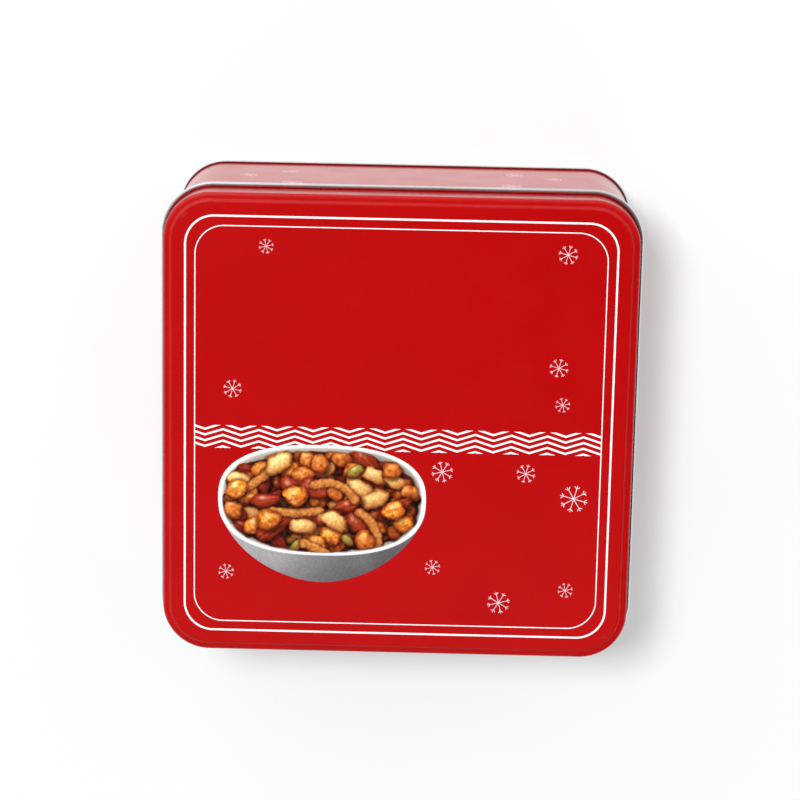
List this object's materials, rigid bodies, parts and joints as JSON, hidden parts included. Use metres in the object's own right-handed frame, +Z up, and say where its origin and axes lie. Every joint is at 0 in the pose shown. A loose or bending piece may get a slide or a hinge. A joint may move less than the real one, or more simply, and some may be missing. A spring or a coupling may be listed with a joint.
{
  "type": "cookie tin",
  "caption": "Square tinplate cookie tin with rounded corners, a lift-off slip lid with a raised panel and rolled edge, a locked side seam and a double-seamed base.",
  "frame": {"origin": "middle of the footprint, on the plane the base seam stands on", "axes": "+Z up out of the lid, +Y towards the top edge of the lid's picture, lock seam in the middle of the -Y wall"},
  "size_m": [0.2, 0.2, 0.088],
  "materials": {
    "lid_tinplate": "gloss red print, bare inside",
    "wall_tinplate": "gloss red print, bare inside",
    "base_tinplate": "bare bright tinplate"
  },
  "bodies": {
    "tin_body": {"body_wall": "wall_tinplate", "base": "base_tinplate"},
    "lid": {"lid": "lid_tinplate"}
  },
  "joints": [
    {"name": "lid_lift", "type": "slide", "parent": "tin_body", "child": "lid", "axis": [0, 0, 1], "range_m": [0, 0.1]}
  ]
}
